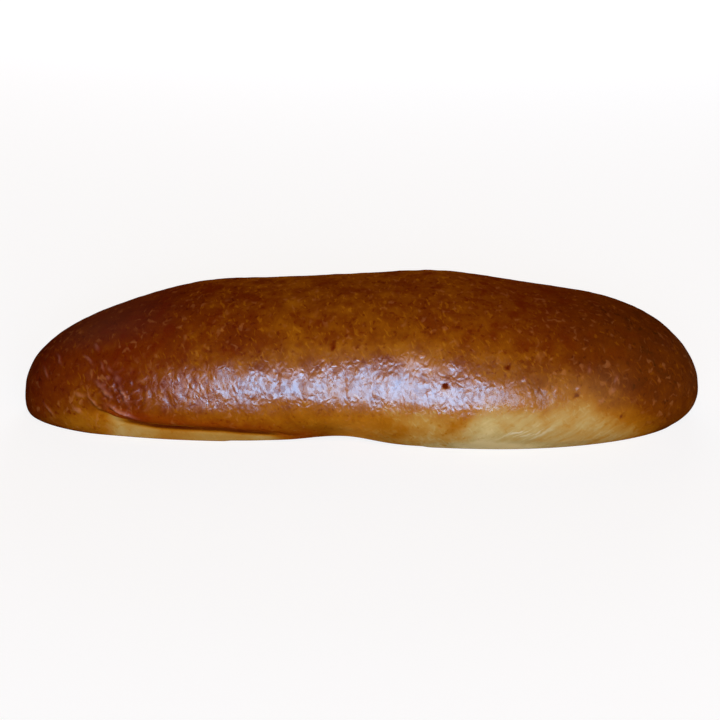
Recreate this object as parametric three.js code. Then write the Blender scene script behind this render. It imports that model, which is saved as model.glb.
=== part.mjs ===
// A long hand-shaped buttermilk loaf, baked free-standing on a flat tray.
//
// The loaf is one solid. It lies along X with its flat base on z = 0, and the side that shows best faces -Y.
// A globe of rings, with its poles at the two tips, is stretched into the loaf: each ring becomes one
// cross-section, and each point of a ring takes a fixed place in that section, such as the base's edge, the
// fold or the crown. Millimetres, +Z up.

import * as THREE from "three";
import { mergeVertices } from "three/addons/utils/BufferGeometryUtils.js";

// Driving dimensions
const LENGTH = 300;
const WIDTH = 93; // across the plain sides, without the belly
const HEIGHT = 60.5;
const BOW = 1.6; // how far the middle lies behind a straight line from tip to tip
const TIP_HEIGHT = { left: 2, right: 11 };
const WIDEST_HEIGHT = 18; // where the middle of the loaf is widest
const TABLE_CUT = 15; // how far the loaf's round form would reach below its flat base

// Bluntness of the two ends: 2 is an ellipse, and more is squarer
const CROWN_BLUNTNESS = { left: 1.9, right: 2.7 };
const PLAN_BLUNTNESS = { left: 3, right: 4.8 };
const BASE_BLUNTNESS = { left: 4, right: 4.5 };

// How fast the outlines leave the tips: 0.5 is an ellipse, and less is steeper
const CROWN_START = { left: 0.36, right: 0.47 };
const ELLIPSE_START = { left: 0.5, right: 0.5 };

// Squareness of the cross-sections: 2 is an ellipse, and more is squarer
const FULLNESS = 2.15;

// The crown's long swells, left by rolling the dough
const SWELL = { height: 1, pitch: 97, crest: 28 };

// The belly: the front of the right half, which spread on the tray
const BELLY = { bulge: 7.1, along: 63, spread: 57 };

// The notch in the front edge, between the fold and the belly
const NOTCH = { along: -8, spread: { left: 24, right: 16.5 }, depth: 5, lift: 1.6, fadeHeight: 16 };

// The fold: browned skin that hangs over a pale foot on the front of the left half.
// Its line is given by the distance along the loaf and the height above the table. Past the fold's end the
// line only guides the facets along the flank.
const FOLD_LINE = [
  [-121, 21],
  [-114, 13.5],
  [-104, 9.3],
  [-88, 7.3],
  [-60, 6.8],
  [-38, 4.7],
  [-26, 3],
  [0, 6],
  [60, 10],
];
const FOLD = { lip: 1.4, lipHeight: 6.5, recess: { table: 1.2, fold: 3 }, groove: 2, grooveHeight: 0.9 };
const FOLD_START = { at: -121, fade: 21 };
const FOLD_END = { at: -26, fade: 16 };

// Facets
const RINGS = 90;
const BASE_POINTS = 6; // from the middle of the base to its edge
const FOOT_POINTS = 5; // from the base's front edge to the fold
const FRONT_POINTS = 15; // from the fold to the crown
const BACK_POINTS = 16; // from the crown to the base's back edge
const FRONT_CROWDING = 1.6; // over 1, the points crowd towards the fold
const LEAST_BASE_TURN = 0.45; // to the edge of the base's points, past the ends of the flat
const FOLD_CLEARANCE = 0.05; // the least turn between the base's front edge and the fold's line
const HIGHEST_FOLD_TURN = Math.PI * 0.55;
const FOLD_STEPS = 160; // along the fold's curve
const MERGE_DISTANCE = 1e-3; // within which points are one

const CRUST_COLOUR = 0x8a4a10;
const CRUST_ROUGHNESS = 0.4;

const { clamp, lerp, smoothstep } = THREE.MathUtils;

function bell(distance, spread) {
  return Math.exp(-((distance / spread) ** 2));
}

// How strongly the notch shows at a distance along the loaf. It runs out slowly to the left.
function notchStrength(x) {
  const distance = x - NOTCH.along;
  return bell(distance, distance < 0 ? NOTCH.spread.left : NOTCH.spread.right);
}

// 1 at the middle of the loaf, falling to 0 at the tips.
function rounded(along, bluntness, start = ELLIPSE_START) {
  const end = along < 0 ? "left" : "right";
  return Math.max(0, 1 - Math.abs(along) ** bluntness[end]) ** start[end];
}

// A cosine or sine, made fuller or slimmer.
function full(value) {
  return Math.sign(value) * Math.abs(value) ** (2 / FULLNESS);
}

const foldCurve = new THREE.SplineCurve(FOLD_LINE.map(([x, z]) => new THREE.Vector2(x, z)));
const foldSamples = foldCurve.getPoints(FOLD_STEPS);

// The fold's height above the table at a distance along the loaf.
function foldHeight(x) {
  const first = foldSamples[0];
  const last = foldSamples[foldSamples.length - 1];
  if (x <= first.x) return first.y;
  if (x >= last.x) return last.y;
  const next = foldSamples.findIndex((sample) => sample.x > x);
  const [before, after] = [foldSamples[next - 1], foldSamples[next]];
  return lerp(before.y, after.y, (x - before.x) / (after.x - before.x));
}

// How strongly the fold shows at a distance along the loaf, from 0 to 1.
function foldStrength(x) {
  const begun = smoothstep(x, FOLD_START.at, FOLD_START.at + FOLD_START.fade);
  const ended = smoothstep(x, FOLD_END.at - FOLD_END.fade, FOLD_END.at);
  return begun * (1 - ended);
}

// The sizes of the cross-section at a share of the half-length, from -1 at the left tip to 1 at the right.
function sectionAt(along) {
  const x = (along * LENGTH) / 2;
  const tip = lerp(TIP_HEIGHT.left, TIP_HEIGHT.right, smoothstep(along, -1, 1));
  const rise = rounded(along, CROWN_BLUNTNESS, CROWN_START);
  const spread = rounded(along, PLAN_BLUNTNESS);
  const sink = rounded(along, BASE_BLUNTNESS);
  const swell = SWELL.height * Math.cos((2 * Math.PI * (x - SWELL.crest)) / SWELL.pitch);
  return {
    x,
    axis: BOW * (1 - along * along),
    crown: tip + (HEIGHT + swell - tip) * rise,
    widest: tip + (WIDEST_HEIGHT - tip) * rise,
    bottom: tip - (tip + TABLE_CUT) * sink,
    front: (WIDTH / 2 + BELLY.bulge * bell(x - BELLY.along, BELLY.spread)) * spread,
    back: (WIDTH / 2) * spread,
  };
}

// The height of a flank's curve, below the widest place or above it.
function flankReach(section, below) {
  return below ? section.widest - section.bottom : section.crown - section.widest;
}

// The turn at which a section passes a height on its front flank. A turn is 0 at the middle of the base,
// a quarter of a circle at the widest place in front, and half of one at the crown.
function turnAtHeight(section, height) {
  const below = section.widest - height;
  const share = clamp(below / flankReach(section, below > 0), -1, 1);
  return Math.acos(Math.sign(share) * Math.abs(share) ** (FULLNESS / 2));
}

// The turn at the flat base's front edge. The back edge has the same turn, counted the other way. Past the
// ends of the base the sections are whole ovals, and their lowest stretch takes the base's points.
function baseEdgeTurn(section) {
  return Math.max(turnAtHeight(section, 0), LEAST_BASE_TURN);
}

// How far the fold and the notch move the front flank out, at a height above the table.
function frontRelief(section, height) {
  const foldAt = foldHeight(section.x);
  const above = height - foldAt;
  const lip = FOLD.lip * bell(above - FOLD.lipHeight, FOLD.lipHeight);
  const deepest = lerp(FOLD.recess.table, FOLD.recess.fold, clamp(height / foldAt, 0, 1));
  const recess = deepest * (1 - smoothstep(above, 0, FOLD.lipHeight / 2));
  const groove = FOLD.groove * bell(above, FOLD.grooveHeight);
  const fold = foldStrength(section.x) * (lip - recess - groove);
  const notch = NOTCH.depth * notchStrength(section.x);
  return fold - notch * (1 - smoothstep(height, 0, NOTCH.fadeHeight));
}

// A point of a section's outline.
function outlinePoint(section, turn) {
  const sine = full(Math.sin(turn));
  const cosine = full(Math.cos(turn));
  const inFront = turn < Math.PI;
  let height = Math.max(0, section.widest - flankReach(section, cosine > 0) * cosine);
  let depth = section.axis - sine * (inFront ? section.front : section.back);
  if (inFront) {
    const edge = baseEdgeTurn(section);
    const nearEdge = smoothstep(turn, edge / 2, edge);
    depth -= frontRelief(section, height) * nearEdge;
    const underNotch = 1 - smoothstep(height, 0, NOTCH.fadeHeight);
    height += NOTCH.lift * notchStrength(section.x) * nearEdge * underNotch;
  }
  return new THREE.Vector3(section.x, depth, height);
}

// The turns of one ring's points, in order round the section. The points keep to the base's edges and
// the fold.
function ringTurns(section) {
  const edge = baseEdgeTurn(section);
  const backEdge = 2 * Math.PI - edge;
  const fold = clamp(turnAtHeight(section, foldHeight(section.x)), edge + FOLD_CLEARANCE, HIGHEST_FOLD_TURN);
  const stretches = [
    { from: 0, to: edge, points: BASE_POINTS, crowding: 1 },
    { from: edge, to: fold, points: FOOT_POINTS, crowding: 1 },
    { from: fold, to: Math.PI, points: FRONT_POINTS, crowding: FRONT_CROWDING },
    { from: Math.PI, to: backEdge, points: BACK_POINTS, crowding: 1 },
    { from: backEdge, to: 2 * Math.PI, points: BASE_POINTS, crowding: 1 },
  ];
  return stretches.flatMap(({ from, to, points, crowding }) =>
    Array.from({ length: points }, (_, step) => lerp(from, to, (step / points) ** crowding)),
  );
}

// The whole loaf as one closed surface, with the middle of its base at the origin.
function loafGeometry() {
  const around = 2 * BASE_POINTS + FOOT_POINTS + FRONT_POINTS + BACK_POINTS;
  const globe = new THREE.SphereGeometry(1, around, RINGS);
  const position = globe.getAttribute("position");
  for (let ring = 0; ring <= RINGS; ring++) {
    const section = sectionAt(-Math.cos((Math.PI * ring) / RINGS));
    const atTip = ring === 0 || ring === RINGS;
    const turns = atTip ? [] : ringTurns(section);
    for (let step = 0; step <= around; step++) {
      const point = atTip
        ? new THREE.Vector3(section.x, section.axis, section.crown)
        : outlinePoint(section, turns[step % around]);
      position.setXYZ(ring * (around + 1) + step, point.x, point.y, point.z);
    }
  }
  globe.deleteAttribute("normal");
  globe.deleteAttribute("uv");
  const loaf = mergeVertices(globe, MERGE_DISTANCE);
  loaf.computeBoundingBox();
  const middle = loaf.boundingBox.getCenter(new THREE.Vector3());
  loaf.translate(-middle.x, -middle.y, 0);
  loaf.computeVertexNormals();
  return loaf;
}

const loaf = new THREE.Mesh(
  loafGeometry(),
  new THREE.MeshStandardMaterial({ color: CRUST_COLOUR, roughness: CRUST_ROUGHNESS, metalness: 0 }),
);
loaf.name = "loaf";

const part = new THREE.Group();
part.add(loaf);

export default part;
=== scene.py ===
import math
from types import SimpleNamespace

import bmesh
import bpy
from mathutils import Matrix, Vector, noise


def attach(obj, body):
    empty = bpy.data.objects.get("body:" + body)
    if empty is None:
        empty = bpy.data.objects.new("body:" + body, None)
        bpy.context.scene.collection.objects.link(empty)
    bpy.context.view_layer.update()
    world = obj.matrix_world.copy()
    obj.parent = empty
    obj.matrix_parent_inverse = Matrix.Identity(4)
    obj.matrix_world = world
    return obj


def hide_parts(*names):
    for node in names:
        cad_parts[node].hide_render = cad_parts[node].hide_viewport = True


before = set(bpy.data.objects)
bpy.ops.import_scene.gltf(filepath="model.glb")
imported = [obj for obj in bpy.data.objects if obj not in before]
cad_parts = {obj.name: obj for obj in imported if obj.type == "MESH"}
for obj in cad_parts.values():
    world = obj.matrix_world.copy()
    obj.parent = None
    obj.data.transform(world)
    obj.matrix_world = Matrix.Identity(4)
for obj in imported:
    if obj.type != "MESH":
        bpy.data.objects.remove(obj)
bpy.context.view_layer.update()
mm = 0.001
noise.seed_set(7)  # the wander of the lines is then the same in every run


# Shader maths

class Wire:
    # one output socket of a material: sums on it add Math nodes
    def __init__(self, tree, socket=None):
        self.tree = tree
        self.socket = socket

    def node(self, kind, settings, sockets, output=0):
        made = self.tree.nodes.new("ShaderNode" + kind)
        for name, value in settings.items():
            if name == "stops":
                fillRamp(made.color_ramp, value)
            else:
                setattr(made, name, value)
        for name, value in sockets.items():
            if isinstance(value, Wire):
                self.tree.links.new(value.socket, made.inputs[name])
            else:
                made.inputs[name].default_value = value
        return Wire(self.tree, made.outputs[output] if made.outputs else None)

    def math(self, operation, first, second=0.0):
        return self.node("Math", {"operation": operation}, {0: first, 1: second})

    def __add__(self, other):
        return self.math("ADD", self, other)

    def __sub__(self, other):
        return self.math("SUBTRACT", self, other)

    def __rsub__(self, other):
        return self.math("SUBTRACT", other, self)

    def __mul__(self, other):
        return self.math("MULTIPLY", self, other)

    def __abs__(self):
        return self.math("ABSOLUTE", self)

    __radd__ = __add__
    __rmul__ = __mul__

    def smooth(self, low, high):
        # 0 at low and 1 at high, also where low is the larger
        return self.node(
            "MapRange",
            {"interpolation_type": "SMOOTHSTEP"},
            {"Value": self, "From Min": low, "From Max": high},
        )

    def bell(self, middle, spread):
        # 1 at the middle and 0 a spread away from it
        return abs(self - middle).smooth(spread, 0.0)

    def shifted(self, other, amount):
        # this vector, moved by another times an amount
        return self.node("VectorMath", {"operation": "MULTIPLY_ADD"}, {0: other, 1: (amount,) * 3, 2: self})

    def stretched(self, sizes, lean=0.0):
        # this vector, counted in sizes along each axis, which lean in the plane of the front
        return self.node(
            "Mapping",
            {"vector_type": "TEXTURE"},
            {"Vector": self, "Rotation": (0.0, lean, 0.0), "Scale": sizes},
        )

    def mixed(self, other, share):
        # this colour with a share of another
        return self.node("Mix", {"data_type": "RGBA"}, {0: share, 6: self, 7: other}, output=2)

    def cloud(self, size=1.0, detail=2.0, distortion=0.0, output=0):
        # noise from 0 to 1, or with output 1 a noise of colours
        sockets = {"Vector": self, "Scale": 1 / size, "Detail": detail, "Distortion": distortion}
        return self.node("TexNoise", {}, sockets, output)


def fillRamp(ramp, stops):
    while len(ramp.elements) < len(stops):
        ramp.elements.new(1.0)
    for element, (place, colour) in zip(ramp.elements, stops):
        element.position = place
        element.color = colour


def paint(red, green, blue):
    # a screen colour, 0 to 255, as the light it stands for
    def light(value):
        share = value / 255
        return share / 12.92 if share <= 0.04045 else ((share + 0.055) / 1.055) ** 2.4
    return (light(red), light(green), light(blue), 1.0)


# Small sums for the mesh

faint = 0.01  # a share too small to show


def smooth(value, low, high):
    share = min(1.0, max(0.0, (value - low) / (high - low)))
    return share * share * (3 - 2 * share)


def bell(distance, spread):
    return math.exp(-((distance / spread) ** 2))


def wandered(place, wander):
    # a place moved by noises, each with its size and amount
    moved = place
    for size, amount in wander:
        moved = moved + noise.noise_vector(place / size) * amount
    return moved


# The loaf. Lengths are in mm, and heights are above the table.

loaf = {
    "mergeWithin": 0.001,  # points of the CAD facets this near are one
    "levels": 2,  # of subdivision over the CAD facets
    # the flat base's edge: how sharp the subdivision leaves it, from 0 to 1, how low it is, its least angle
    "baseEdge": {"sharpness": 0.6, "below": 0.05, "angle": 20},
    "lumps": {"size": 38, "height": 0.7},
    "dimples": {"size": 6.5, "height": 0.16, "seed": (31, 7, 3)},
    "wrinkles": {"sizes": (4.2, 13, 13), "height": 0.05, "sharpness": 3.2},
    # the fold's line, as in the CAD: distance along, height
    "foldLine": [
        (-121, 21), (-114, 13.5), (-104, 9.3), (-88, 7.3),
        (-60, 6.8), (-38, 4.7), (-26, 3), (0, 3),
    ],
    "foldSpan": {"start": (-115, -102), "end": (-44, -26)},
    "groove": {"depth": 1.2, "spread": 0.8},
    "grooveShade": {"below": 0.5, "spread": 0.9},
    # where a part of the crust fades in, from none of it to all of it
    "fades": {
        "front": (4, 14),  # before the middle of the loaf
        "underside": (0.72, 0.95),  # by how far a face looks down
        "relief": (0.5, 5),  # above the table
        "foot": (-0.4, 0.5),  # below the fold's line
        "lipFromAbove": (10, 0.5),  # above the fold's line
        "lipFromBelow": (-0.4, 0.4),
    },
    # creases and ridges of the front: from one place to another, as (along, height), then depth or rise,
    # and width
    "creases": [
        ((-104.3, 25), (-101, 19), 0.8, 0.9),
        ((-109.5, 21), (-107, 19), 0.5, 0.8),
        ((-108.5, 14.5), (-99, 10.5), 0.8, 0.9),
        ((-95, 16.5), (-91.5, 20.5), 0.7, 1.0),
        ((-35, 37), (-36, 24), 0.22, 1.1),
        ((-25.5, 36), (-26, 25), 0.2, 1.1),
        ((-8, 35), (-7, 22), 0.24, 1.1),
        ((8, 34), (11, 24), 0.15, 1.0),
    ],
    "ridges": [
        ((-102.8, 25.5), (-99.2, 18.5), 0.7, 0.8),
        ((-111, 24), (-106.2, 20), 0.55, 0.9),
        ((-114, 26), (-109.5, 24), 0.4, 1.0),
        ((-107.5, 16.6), (-96.5, 12.2), 0.9, 0.9),
        ((-90.5, 25), (-90.3, 20), 0.4, 1.1),
        ((-123, 19.5), (-119, 19), 0.35, 1.0),
        ((-125, 14), (-120, 10.6), 0.35, 0.9),
        ((-108.5, 29), (-107, 28), 0.4, 1.1),
        ((-105, 28.5), (-102.5, 27.5), 0.4, 1.2),
        ((-138.2, 25.3), (-135.9, 22.6), 0.35, 0.65),
        ((-132.3, 31.6), (-129.8, 29.2), 0.35, 0.65),
        ((-119.1, 33.9), (-115.2, 32.2), 0.4, 0.65),
        ((-115, 38.4), (-112.8, 37.3), 0.35, 0.7),
        ((-116.6, 19.2), (-113, 15.2), 0.45, 0.7),
        ((-138.2, 10.9), (-133.6, 7), 0.4, 0.65),
        ((-111.6, 33.3), (-109.2, 30.8), 0.35, 0.65),
        ((-107.9, 32.4), (-105.6, 30.2), 0.35, 0.65),
        ((67.5, 34.6), (68.5, 33.4), 0.35, 0.9),
        ((69.6, 28.8), (70.6, 27.8), 0.3, 0.9),
        ((71, 23), (71.8, 22), 0.3, 0.8),
        ((81.6, 31), (80.9, 27.6), 0.4, 0.8),
        ((90.2, 29.6), (92, 28), 0.4, 0.9),
        ((95, 35.6), (96.4, 34.8), 0.3, 0.9),
        ((99.8, 22.2), (102, 23.8), 0.35, 0.9),
        ((104.8, 25.6), (107.2, 27.6), 0.35, 0.8),
        ((107.2, 32.2), (106.8, 29.2), 0.35, 0.8),
    ],
    # how a crease or ridge tapers, dips beside itself and wanders
    "lines": {"taper": 0.42, "dip": 0.25, "dipAside": 2.2, "wander": [(4, 0.7), (1.6, 0.35)]},
    # a patch of puckered skin on the front of the left end
    "puckers": {
        "along": -101,
        "reach": 15,
        "height": 23,
        "lift": 8,
        "sizes": (1.7, 3.4),  # across a pucker and along it
        "lean": 0.75,
        "wander": (5, 0.6),
        "seed": 5,
        "edge": (0.05, 0.45),
        "rise": 0.45,
        "show": 0.4,  # how much of it counts as a ridge, for the gloss and for the ridges' painted highlight
    },
    # low swellings on the front: along, height, reach and rise
    "swellings": [(21, 47, 6, 0.9), (38, 40, 3.5, 0.2), (-60, 38, 6, 0.5), (56, 31, 4, 0.4)],
    # pits in the front: along, height, reach
    "pits": [(35, 31, 1.2), (61, 38, 1.0), (90, 26, 1.2), (110, 15, 0.9), (130, 17, 0.9), (-12, 44, 1.0)],
    "pitDepth": 0.2,
    "pitWander": [(1.2, 1.0)],
    # the front flank leans back a little more along the right half: height, spread and rise
    "lean": {"low": (13, 9, 0.9), "high": (36, 10, -0.9), "start": (-45, 0), "end": (75, 120)},
    # where the ridges need finer faces
    "fine": [
        {"along": (-141, -86), "height": (6, 40)},
        {"along": (-42, 16), "height": (20, 40)},
        {"along": (30, 41), "height": (25, 37)},
        {"along": (62, 112), "height": (19, 38)},
    ],
}

# what the mesh keeps for the crust's material
keptShares = ("foot", "groove", "lip", "underside", "upward", "pit", "ridge")


def foldHeight(along):
    line = loaf["foldLine"]
    if along <= line[0][0]:
        return line[0][1]
    for (fromX, fromZ), (toX, toZ) in zip(line, line[1:]):
        if along <= toX:
            return fromZ + (toZ - fromZ) * (along - fromX) / (toX - fromX)
    return line[-1][1]


def foldStrength(along):
    span = loaf["foldSpan"]
    return smooth(along, *span["start"]) * (1 - smooth(along, *span["end"]))


def lineShare(place, start, end, wide):
    # 1 on a short line over the front, with soft ends and sides, and a little below 0 beside it
    lines = loaf["lines"]
    run = Vector(end) - Vector(start)
    offset = Vector((place.x, place.z)) - Vector(start)
    taper = bell(offset.dot(run) / run.length_squared - 0.5, lines["taper"])
    if taper < faint:
        return 0.0
    aside = abs(offset.x * run.y - offset.y * run.x) / run.length
    return taper * (bell(aside, wide) - lines["dip"] * bell(aside - lines["dipAside"] * wide, wide))


def lineHeight(place, lines):
    place = wandered(place, loaf["lines"]["wander"])
    return sum(high * lineShare(place, start, end, wide) for start, end, high, wide in lines)


def puckerHeight(place):
    puckers = loaf["puckers"]
    share = bell(place.x - puckers["along"], puckers["reach"])
    share *= bell(place.z - puckers["height"], puckers["lift"])
    if share < faint:
        return 0.0
    wide, long = puckers["sizes"]
    size, amount = puckers["wander"]
    turned = Vector((place.x, place.z)) @ Matrix.Rotation(puckers["lean"], 2)
    drawnOut = Vector((turned.x / long, turned.y / wide, puckers["seed"]))
    folds = noise.noise(drawnOut + noise.noise_vector(place / size) * amount)
    return puckers["rise"] * share * smooth(folds, *puckers["edge"])


def leanHeight(place):
    lean = loaf["lean"]
    along = smooth(place.x, *lean["start"]) * (1 - smooth(place.x, *lean["end"]))
    bands = (lean["low"], lean["high"])
    return along * sum(rise * bell(place.z - height, spread) for height, spread, rise in bands)


def spotShare(place, along, height, reach):
    return bell(math.hypot(place.x - along, place.z - height), reach)


def swellingHeight(place):
    return sum(rise * spotShare(place, *spot) for *spot, rise in loaf["swellings"])


def pitShare(place):
    place = wandered(place, loaf["pitWander"])
    return min(1.0, sum(spotShare(place, *spot) for spot in loaf["pits"]))


def crustShares(place, normal):
    # what a point of the crust belongs to, from 0 to 1, and how high its ridges and puckers are
    fades, shade, puckers = loaf["fades"], loaf["grooveShade"], loaf["puckers"]
    inFront = smooth(-place.y, *fades["front"])
    fold = foldStrength(place.x) * inFront
    above = place.z - foldHeight(place.x)
    underside = smooth(-normal.z, *fades["underside"])
    ridgeHeight = lineHeight(place, loaf["ridges"]) * inFront
    pucker = puckerHeight(place) * inFront
    return {
        "inFront": inFront,
        "fold": fold,
        "aboveFold": above,
        "ridgeHeight": ridgeHeight,
        "pucker": pucker,
        "foot": fold * smooth(-above, *fades["foot"]) * (1 - underside),
        # where the crust is painted darker, as shade in the groove under the fold's lip
        "groove": fold * bell(above + shade["below"], shade["spread"]) * (1 - underside),
        "lip": fold * smooth(above, *fades["lipFromAbove"]) * smooth(above, *fades["lipFromBelow"]),
        "underside": underside,
        "upward": normal.z,
        "pit": pitShare(place) * inFront,
        "ridge": max(0.0, ridgeHeight) + pucker * puckers["show"],
    }


def crustHeight(place, shares):
    # how far the relief lifts a point of the crust
    lumps, dimples, wrinkles, groove = loaf["lumps"], loaf["dimples"], loaf["wrinkles"], loaf["groove"]
    lump = lumps["height"] * noise.noise(place / lumps["size"])
    dimple = dimples["height"] * noise.noise(place / dimples["size"] + Vector(dimples["seed"]))
    drawnOut = Vector([value / size for value, size in zip(place, wrinkles["sizes"])])
    wrinkle = wrinkles["height"] * (1 - wrinkles["sharpness"] * abs(noise.noise(drawnOut)))
    fine = (dimple + wrinkle) * (1 - shares["foot"])
    shaped = swellingHeight(place) + leanHeight(place) - lineHeight(place, loaf["creases"])
    shaped += shares["ridgeHeight"] + shares["pucker"] - loaf["pitDepth"] * shares["pit"]
    cut = groove["depth"] * shares["fold"] * bell(shares["aboveFold"], groove["spread"])
    skin = (1 - shares["underside"]) * smooth(place.z, *loaf["fades"]["relief"])
    return (lump + fine + shaped * shares["inFront"] - cut) * skin


def copyCadMesh(node):
    # the CAD facets as a smooth cage of quads
    baseEdge = loaf["baseEdge"]
    mesh = bmesh.new()
    mesh.from_mesh(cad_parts[node].data)
    bmesh.ops.remove_doubles(mesh, verts=mesh.verts, dist=loaf["mergeWithin"] * mm)
    bmesh.ops.join_triangles(
        mesh,
        faces=mesh.faces,
        angle_face_threshold=math.pi,
        angle_shape_threshold=math.pi,
    )
    crease = mesh.edges.layers.float.new("crease_edge")
    for edge in mesh.edges:
        onTable = all(vert.co.z < baseEdge["below"] * mm for vert in edge.verts)
        if onTable and edge.calc_face_angle(0.0) > math.radians(baseEdge["angle"]):
            edge[crease] = baseEdge["sharpness"]
    return mesh


def subdivided(mesh, name, levels):
    data = bpy.data.meshes.new(name)
    mesh.to_mesh(data)
    mesh.free()
    cage = bpy.data.objects.new(name, data)
    bpy.context.scene.collection.objects.link(cage)
    modifier = cage.modifiers.new("rounding", "SUBSURF")
    modifier.levels = levels
    modifier.render_levels = levels
    fine = bpy.data.meshes.new_from_object(cage.evaluated_get(bpy.context.evaluated_depsgraph_get()))
    bpy.data.objects.remove(cage)
    return fine


def refine(mesh, where):
    def inside(vert):
        place = vert.co / mm
        along = where["along"][0] < place.x < where["along"][1]
        return along and place.y < 0 and where["height"][0] < place.z < where["height"][1]
    edges = [edge for edge in mesh.edges if all(inside(vert) for vert in edge.verts)]
    bmesh.ops.subdivide_edges(mesh, edges=edges, cuts=1, use_grid_fill=True)


def makeLoaf():
    data = subdivided(copyCadMesh("loaf"), "loafCage", loaf["levels"])
    mesh = bmesh.new()
    mesh.from_mesh(data)
    for where in loaf["fine"]:
        refine(mesh, where)
    mesh.normal_update()
    layers = {name: mesh.verts.layers.float.new(name) for name in keptShares}
    moves = []
    for vert in mesh.verts:
        place = vert.co / mm
        shares = crustShares(place, vert.normal)
        for name, layer in layers.items():
            vert[layer] = shares[name]
        moves.append((vert, vert.normal * (crustHeight(place, shares) * mm)))
    for vert, move in moves:
        vert.co += move
        vert.co.z = max(0.0, vert.co.z)
    for face in mesh.faces:
        face.smooth = True
    mesh.to_mesh(data)
    mesh.free()
    piece = bpy.data.objects.new("loafCrust", data)
    bpy.context.scene.collection.objects.link(piece)
    print("loaf:", len(data.polygons), "faces")
    return piece


# The crust. Browning runs from 0, bare dough, to 1, burnt. Places and sizes are in mm, as on the loaf.

crust = {
    "browning": [
        (0.00, paint(206, 176, 114)),
        (0.14, paint(185, 153, 88)),
        (0.28, paint(175, 123, 48)),
        (0.42, paint(160, 93, 12)),
        (0.56, paint(141, 75, 6)),
        (0.70, paint(114, 48, 4)),
        (0.84, paint(90, 28, 4)),
        (1.00, paint(48, 12, 3)),
    ],
    # colours laid over the browning in this order, each with its strength
    "tints": {
        "ruddy": (paint(100, 26, 2), 1.0),
        "russet": (paint(142, 50, 2), 1.0),
        # painted light: a brighter orange for the notch's lower edge, which lies in shade
        "notch": (paint(206, 124, 32), 0.6),
        "umber": (paint(98, 56, 4), 0.3),
        # an olive tone with a painted sheen over the right flank
        "oliveToneAndPaintedSheen": (paint(152, 114, 68), 0.17),
        # painted reflection: a grey sky sheen on the top of the left end
        "paintedSkySheen": (paint(98, 70, 50), 0.22),
        # light pink flecks: partly the crust's own pale specks, partly painted glints near the highlight
        "fleck": (paint(184, 112, 56), 0.24),
        # painted highlight: pink on the ridges and puckers, where they would catch the light
        "pucker": (paint(196, 126, 104), 0.5),
        # painted highlight: cream glints streaked over the belly
        "paintedBellyGlint": (paint(222, 204, 164), 0.5),
    },
    "commonBrowning": 0.53,
    # what each area adds to the browning
    "areaBrowning": {
        "crown": 0.08,
        "nose": 0.22,
        "nosePatch": -0.34,
        "burnt": 0.45,
        # a slight painted shade under the overhang of the fold's lip
        "lip": 0.02,
        "waist": -0.15,
        # paler at the notch's lower edge, as painted light in its shade
        "notch": -0.1,
        "cheek": -0.25,
        "amber": 0.09,
        # paler along the belly's bottom edge: partly its own paler dough, partly painted light against the
        # shade near the table
        "rim": -0.26,
        "backFoot": -0.3,
        "pit": 0.45,
        # paler on the ridges: a painted highlight
        "ridge": -0.16,
    },
    # how strongly each kind of mark shows in the browning
    "marks": {"patch": 0.33, "fleck": 0.1, "stroke": 0.13, "cell": 0.03, "streak": 0.28},
    # patches of the front, browner or paler: along, height, reach along and up, change of browning
    "tones": [
        (-50, 46, 24, 8, 0.16),
        (34, 51, 13, 16, 0.09),
        (8, 42, 60, 8, -0.06),
        (-131, 4, 14, 10, -0.14),
        (-119, 14, 14, 10, 0.1),
        (-36, 20, 18, 9, -0.08),
        (20, 19, 16, 8, -0.08),
        (115, 6, 18, 8, -0.08),
    ],
    "shine": 0.72,
    "glossyRoughness": 0.2,
    "roughnessChange": 0.12,  # over the grain
    "matteRoughness": 0.8,
    # patches of the front, glossier or duller: along, height, reach along and up, change of gloss
    "gleams": [
        (-58, 34, 18, 9, -0.4),
        (-67, 23, 18, 9, 0.5),
        (-30, 39, 28, 9, 1.0),
        (-9, 28, 24, 13, -0.22),
        (18, 36, 16, 9, -0.14),
        (60, 37, 20, 9, 1.5),
        (-52, 21, 14, 8, -0.2),
        (-2, 19, 20, 7, 0.4),
    ],
    # the fine skin: sizes along each axis, leans in radians and depths of relief
    "crackle": {"sizes": (2.3, 2.9, 2.9), "depth": 0.055},
    "crumple": {"sizes": (2.5, 3.3, 3.3), "lean": -0.5, "depth": 0.1},
    "grain": {"size": 1.1, "depth": 0.015},
    "specks": {"sizes": (2.4, 3.0, 3.0), "depth": 0.055},
    "streaks": {"sizes": (11.0, 11.0, 2.2), "lean": -0.6, "depth": 0.22},
    "spots": {"sizes": (1.6, 2.2, 2.2), "lean": -0.5},
    "strokes": {"sizes": (1.2, 3.4, 3.4), "lean": -0.6},
    # how far the pattern of the skin is drawn out of place
    "warp": {"size": 5, "amount": 3.0},
    "easyWarp": {"size": 5, "amount": 2.0},
}


def readSurface(tree):
    # the place on the loaf, its sides and what the mesh keeps
    wire = Wire(tree)
    place = wire.node("TexCoord", {}, {}, output=3).stretched((mm,) * 3)
    split = wire.node("SeparateXYZ", {}, {0: place})
    x, y, z = (Wire(tree, socket) for socket in split.socket.node.outputs)
    on = SimpleNamespace(wire=wire, place=place, x=x, y=y, z=z)
    on.front = y.smooth(-18, -34)
    on.back = y.smooth(20, 36)
    on.forward = y.smooth(10, -20)
    for name in keptShares:
        setattr(on, name, wire.node("Attribute", {"attribute_name": name}, {}, output=2))
    return on


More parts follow.
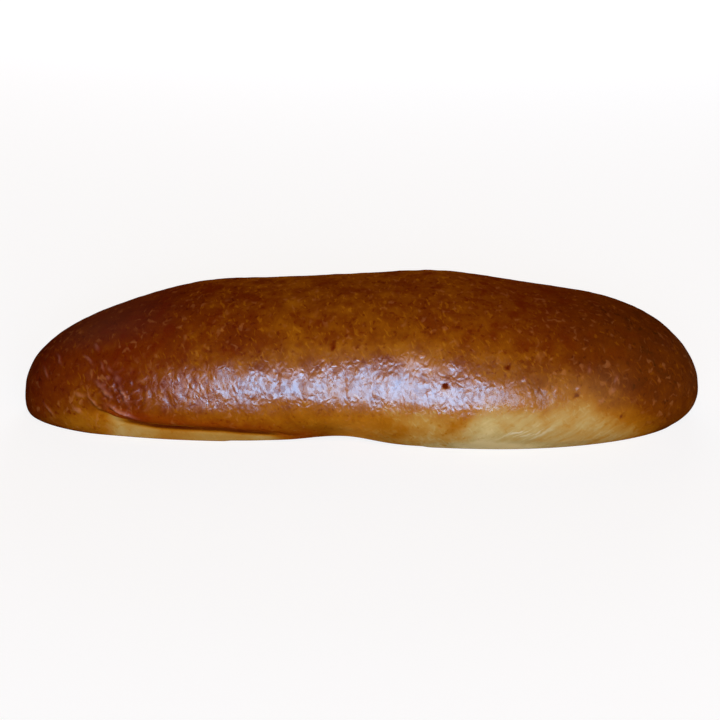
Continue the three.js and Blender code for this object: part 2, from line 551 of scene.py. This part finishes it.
def addAreas(on):
    # where the loaf is browner, paler or redder
    x, y, z, front = on.x, on.y, on.z, on.front
    edge = (on.place.cloud(13, 3.0) - 0.5) * 12
    ragged = z + edge
    on.middle = x.bell(14, 34)
    on.nose = x.smooth(-25, -125)
    on.rightEnd = x.smooth(40, 130)
    on.crown = z.smooth(30, 58)
    bellyEnds = (x + edge).smooth(36, 63) * (x + z * 0.7 - edge * 0.6).smooth(146, 104)
    bellyTop = (ragged - x.bell(90, 13) * 4).smooth(35, 13)
    on.belly = bellyEnds * bellyTop * front
    on.cheek = (x + edge * 0.5).smooth(13, 30) * x.smooth(62, 48) * z.smooth(25, 14) * front
    on.amber = (x - z * 1.1).bell(24, 6) * z.smooth(5, 11) * z.smooth(24, 17) * front
    on.waist = x.bell(12, 24) * z.smooth(26, 16) * front
    on.hem = x.bell(-26, 16) * z.smooth(12, 4) * front
    # the notch's lower edge, painted lighter and more orange to stand for light in its shade
    on.notch = x.bell(-2, 15) * z.smooth(18, 6) * front
    # the belly's bottom edge: paler dough and painted light against the shade near the table
    on.rim = z.smooth(7, 2) * x.bell(55, 34) * front
    on.backFoot = ragged.smooth(16, 4) * on.back * x.smooth(-140, -110) * x.smooth(140, 110)
    on.nosePatch = x.bell(-119, 23) * z.smooth(31, 10) * y.smooth(-15, -30)
    on.burnt = x.smooth(-112, -126) * on.upward.smooth(-0.45, -0.75)
    # where the specks gather, and with them the flecks' painted glints
    on.freckled = (x.smooth(48, 70) * x.smooth(124, 102) * z.bell(28, 16) + x.smooth(-92, -108) * 0.7) * front
    on.baked = (1 - on.belly) * (1 - on.foot) * (1 - on.underside)


def patches(on, rows):
    total = 0.0
    for along, height, wide, tall, change in rows:
        total = total + on.x.bell(along, wide) * on.z.bell(height, tall) * change
    return total * on.forward


def fineSkin(on):
    # cells with creases between them, drawn out round the loaf, and the marks on them
    def drawnOut(vector, name):
        return vector.stretched(crust[name]["sizes"], crust[name].get("lean", 0.0))

    place, warp, easyWarp = on.place, crust["warp"], crust["easyWarp"]
    warped = place.shifted(place.cloud(warp["size"], output=1), warp["amount"])
    eased = place.shifted(place.cloud(easyWarp["size"], 0.0, output=1), easyWarp["amount"])
    cells = {"Vector": drawnOut(eased, "crackle"), "Scale": 1.0}
    speck = drawnOut(warped, "specks").cloud(1.0, 0.6, 0.4) + on.freckled * 0.04
    speckled = place.cloud(11).smooth(0.40, 0.56) + on.freckled * 0.5
    stroke = drawnOut(warped, "strokes").cloud(1.0, 0.6, 0.5).smooth(0.60, 0.74)
    return SimpleNamespace(
        crackle=on.wire.node("TexVoronoi", {"feature": "DISTANCE_TO_EDGE"}, cells).smooth(0.0, 0.45),
        crumple=drawnOut(eased, "crumple").cloud(1.0, 0.4),
        grain=place.cloud(crust["grain"]["size"]),
        speck=speck.smooth(0.58, 0.76) * speckled,
        streak=drawnOut(warped, "streaks").cloud(1.0, 2.0),
        spots=drawnOut(eased, "spots").cloud(1.0, 0.0),
        stroke=stroke * (1 - on.z.smooth(24, 14) * 0.6),
        fleck=warped.cloud(2.4, 2.0).smooth(0.58, 0.70),
        patch=place.cloud(6, 3.0) - 0.5,
        blotch=place.cloud(26) - 0.5,
    )


def crustBrowning(on, skin):
    marks = crust["marks"]
    browning = crust["commonBrowning"] + skin.blotch * (0.30 - on.rightEnd * 0.08)
    for name, change in crust["areaBrowning"].items():
        browning = browning + getattr(on, name) * change
    # the crown's share makes the top of the right end paler: a painted sheen
    rightBrowning = 0.19 + on.z.smooth(6, 20) * 0.09 - on.crown * 0.07
    browning = browning + on.rightEnd * (1 - on.belly * 0.6) * rightBrowning
    mottle = skin.patch * marks["patch"] + skin.fleck * marks["fleck"]
    mottle = mottle - skin.stroke * marks["stroke"] - (skin.crackle - 0.7) * marks["cell"]
    browning = browning + mottle * (1 - 0.6 * on.belly - 0.6 * on.foot)
    bellyPaleness = 0.43 - on.rightEnd * 0.09 + (skin.streak - 0.5) * marks["streak"]
    footPaleness = 0.31 + on.x.smooth(-80, -98) * 0.18
    # painted shade: the crust darker in the groove under the fold's lip
    paintedGrooveShade = on.x.smooth(-106, -97) * 0.5
    browning = browning - on.belly * bellyPaleness - on.foot * footPaleness + on.groove * paintedGrooveShade
    browning = browning + patches(on, crust["tones"])
    beneath = 0.5 + skin.blotch * 0.45 + skin.patch * 0.4 + skin.fleck * 0.12
    return browning * (1 - on.underside) + beneath * on.underside


def crustColour(on, skin):
    x, z = on.x, on.z
    ruddy = on.place.cloud(9, 2.0).smooth(0.5, 0.66) * z.smooth(30, 42) * 0.45
    ruddy = ruddy + on.nose * (1 - on.nosePatch) * 0.33 + x.bell(-98, 28) * z.smooth(24, 34) * 0.3
    ruddy = ruddy + x.bell(72, 42) * z.smooth(40, 50) * 0.45 + on.pit * 0.4
    shares = {
        "ruddy": ruddy * on.baked,
        "russet": (on.lip * 0.8 + on.hem * 0.65) * on.baked,
        # painted light at the notch's lower edge
        "notch": on.notch * on.baked,
        "umber": on.rightEnd * on.baked,
        # olive tone and painted sheen on the right flank
        "oliveToneAndPaintedSheen": x.smooth(45, 80) * x.smooth(122, 95) * z.bell(24, 16) * on.front,
        # painted sky sheen on the upward faces of the left end
        "paintedSkySheen": x.bell(-115, 45) * on.upward.smooth(0.7, 0.95),
        # pale specks, partly painted glints
        "fleck": skin.speck * on.baked,
        # painted highlight on the ridges and puckers
        "pucker": on.ridge,
        # painted glints on the belly's streaks
        "paintedBellyGlint": x.bell(68, 17) * z.bell(11, 6) * skin.streak.smooth(0.52, 0.64) * on.front,
    }
    colour = on.wire.node("ValToRGB", {"stops": crust["browning"]}, {0: crustBrowning(on, skin)})
    for name, (tint, strength) in crust["tints"].items():
        colour = colour.mixed(tint, shares[name] * strength)
    return colour


def crustRelief(on, skin):
    crumple = skin.crumple * (1 - 0.35 * on.middle)
    relief = skin.crackle * crust["crackle"]["depth"] + crumple * crust["crumple"]["depth"]
    relief = relief + skin.grain * crust["grain"]["depth"] + skin.speck * crust["specks"]["depth"]
    streaks = skin.streak * crust["streaks"]["depth"]
    return relief * (1 - 0.6 * on.foot - 0.7 * on.belly) + on.belly * streaks


def crustGlaze(on, skin):
    # the share of gloss: most on the front's highlight, none on the bare dough
    x = on.x
    glaze = (1 - on.belly * 0.75) * (1 - on.foot) * (1 - on.underside) * (1 - on.lip)
    glaze = glaze * on.pit.smooth(0.5, 0.0) * on.upward.smooth(0.85, 0.6) * on.z.smooth(14, 20)
    glaze = glaze * (0.8 + 0.2 * on.place.cloud(6, 3.0).smooth(0.3, 0.55))
    glaze = glaze * (1 - (0.54 - 0.24 * on.middle) * skin.spots.smooth(0.58, 0.35))
    glaze = glaze * (0.85 + 0.05 * x.bell(16, 45)) * (1 - x.smooth(40, 76) * 0.7)
    glaze = glaze * (1 - x.smooth(-40, -85) * 0.26) * (1 - x.smooth(-82, -97) * 0.85)
    return glaze * (1 + patches(on, crust["gleams"])) + on.ridge * 0.25


def crustMaterial():
    material = bpy.data.materials.new("glazedCrust")
    material.use_nodes = True
    material.node_tree.nodes.clear()
    on = readSurface(material.node_tree)
    addAreas(on)
    skin = fineSkin(on)
    bumps = {"Strength": 1.0, "Distance": mm, "Height": crustRelief(on, skin)}
    look = {"Base Color": crustColour(on, skin), "Normal": on.wire.node("Bump", {}, bumps)}
    dull = {"Roughness": crust["matteRoughness"], "Specular IOR Level": 0.0}
    roughness = crust["glossyRoughness"] + (skin.grain - 0.5) * crust["roughnessChange"]
    shiny = {"Roughness": roughness, "Specular IOR Level": crust["shine"]}
    matte = on.wire.node("BsdfPrincipled", {}, {**look, **dull})
    glossy = on.wire.node("BsdfPrincipled", {}, {**look, **shiny})
    shader = on.wire.node("MixShader", {}, {0: crustGlaze(on, skin), 1: matte, 2: glossy})
    on.wire.node("OutputMaterial", {}, {"Surface": shader})
    return material


piece = makeLoaf()
piece.data.materials.clear()
piece.data.materials.append(crustMaterial())
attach(piece, "root")
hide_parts("loaf")
print("crust done")


# Floor, light and camera. Lengths are in metres and angles in degrees.

stage = {
    "floorSize": 8.0,
    "floorColour": (0.25, 0.25, 0.25, 1.0),
    "floorGlow": 0.82,
    "bounceColour": (0.33, 0.22, 0.10, 1.0),  # what the loaf sees of the floor
    "worldColour": (1.0, 0.66, 0.3, 1.0),
    "worldStrength": 0.04,
    # mirrored lights show in the gloss, and lit ones light the crust
    "lights": [
        {
            "name": "window", "azimuth": 0.5, "elevation": 11, "distance": 1.6,
            "size": (1.04, 0.62), "power": 30, "colour": (0.15, 0.55, 1.0), "mirrored": True, "lit": False,
        },
        {
            "name": "windowGlow", "azimuth": -3, "elevation": 11, "distance": 1.65,
            "size": (1.5, 1.0), "power": 17, "colour": (0.9, 0.7, 0.82), "mirrored": True, "lit": False,
        },
        {
            "name": "skyGlow", "azimuth": 180, "elevation": 32, "distance": 2.2,
            "size": (4.5, 1.4), "power": 5, "colour": (0.8, 0.88, 1.0), "mirrored": True, "lit": False,
        },
        {
            "name": "daylight", "azimuth": 2, "elevation": 11, "distance": 1.55,
            "size": (0.95, 0.62), "power": 31, "colour": (0.40, 0.63, 1.0), "mirrored": False, "lit": True,
        },
        {
            "name": "warmFront", "azimuth": 12, "elevation": 28, "distance": 1.8,
            "size": (2.0, 1.4), "power": 20, "colour": (1.0, 0.62, 0.28), "mirrored": False, "lit": True,
        },
        {
            "name": "backWindow", "azimuth": 175, "elevation": 10.5, "distance": 1.6,
            "size": (0.9, 0.56), "power": 20, "colour": (0.62, 0.76, 1.0), "mirrored": True, "lit": True,
        },
        {
            "name": "warmBack", "azimuth": -165, "elevation": 28, "distance": 1.8,
            "size": (2.0, 1.4), "power": 9, "colour": (1.0, 0.62, 0.28), "mirrored": False, "lit": True,
        },
    ],
}

camera = {
    "elevation": 22,
    "distance": 0.7533,
    "aim": (-0.0006, 0.0, 0.0237),
    "lens": 85,
    "sensor": 36,
}


def around(aim, azimuth, elevation, distance):
    turn, lift = math.radians(azimuth), math.radians(elevation)
    away = Vector((math.sin(turn) * math.cos(lift), -math.cos(turn) * math.cos(lift), math.sin(lift)))
    return Vector(aim) + away * distance


def lookAt(thing, aim):
    thing.rotation_euler = (Vector(aim) - thing.location).to_track_quat("-Z", "Y").to_euler()


def makeFloor():
    mesh = bmesh.new()
    bmesh.ops.create_grid(mesh, x_segments=1, y_segments=1, size=stage["floorSize"] / 2)
    data = bpy.data.meshes.new("floor")
    mesh.to_mesh(data)
    mesh.free()
    floor = bpy.data.objects.new("floor", data)
    bpy.context.scene.collection.objects.link(floor)
    data.materials.append(floorMaterial())


def floorMaterial():
    # near white to the camera, while it throws less light back at the loaf
    material = bpy.data.materials.new("paleFloor")
    material.use_nodes = True
    material.node_tree.nodes.clear()
    wire = Wire(material.node_tree)
    seen = wire.node(
        "BsdfPrincipled",
        {},
        {
            "Base Color": stage["floorColour"],
            "Roughness": 1.0,
            "Specular IOR Level": 0.0,
            "Emission Color": (1.0, 1.0, 1.0, 1.0),
            "Emission Strength": stage["floorGlow"],
        },
    )
    bounce = wire.node("BsdfDiffuse", {}, {"Color": stage["bounceColour"]})
    toCamera = wire.node("LightPath", {}, {})
    both = wire.node("MixShader", {}, {0: toCamera, 1: bounce, 2: seen})
    wire.node("OutputMaterial", {}, {"Surface": both})
    return material


def makeLight(settings):
    data = bpy.data.lights.new(settings["name"], "AREA")
    data.shape = "RECTANGLE"
    data.size, data.size_y = settings["size"]
    data.energy = settings["power"]
    data.color = settings["colour"]
    light = bpy.data.objects.new(settings["name"], data)
    bpy.context.scene.collection.objects.link(light)
    light.location = around(camera["aim"], settings["azimuth"], settings["elevation"], settings["distance"])
    lookAt(light, camera["aim"])
    light.visible_camera = False
    light.visible_glossy = settings["mirrored"]
    light.visible_diffuse = settings["lit"]


def makeWorld():
    world = bpy.data.worlds.new("room")
    world.use_nodes = True
    background = world.node_tree.nodes["Background"]
    background.inputs["Color"].default_value = stage["worldColour"]
    background.inputs["Strength"].default_value = stage["worldStrength"]
    bpy.context.scene.world = world


def makeCamera():
    data = bpy.data.cameras.new("camera")
    data.lens = camera["lens"]
    data.sensor_width = camera["sensor"]
    viewer = bpy.data.objects.new("camera", data)
    bpy.context.scene.collection.objects.link(viewer)
    viewer.location = around(camera["aim"], 0, camera["elevation"], camera["distance"])
    lookAt(viewer, camera["aim"])
    bpy.context.scene.camera = viewer


makeFloor()
for settings in stage["lights"]:
    makeLight(settings)
makeWorld()
makeCamera()
bpy.context.scene.view_settings.view_transform = "Standard"
print("stage done")
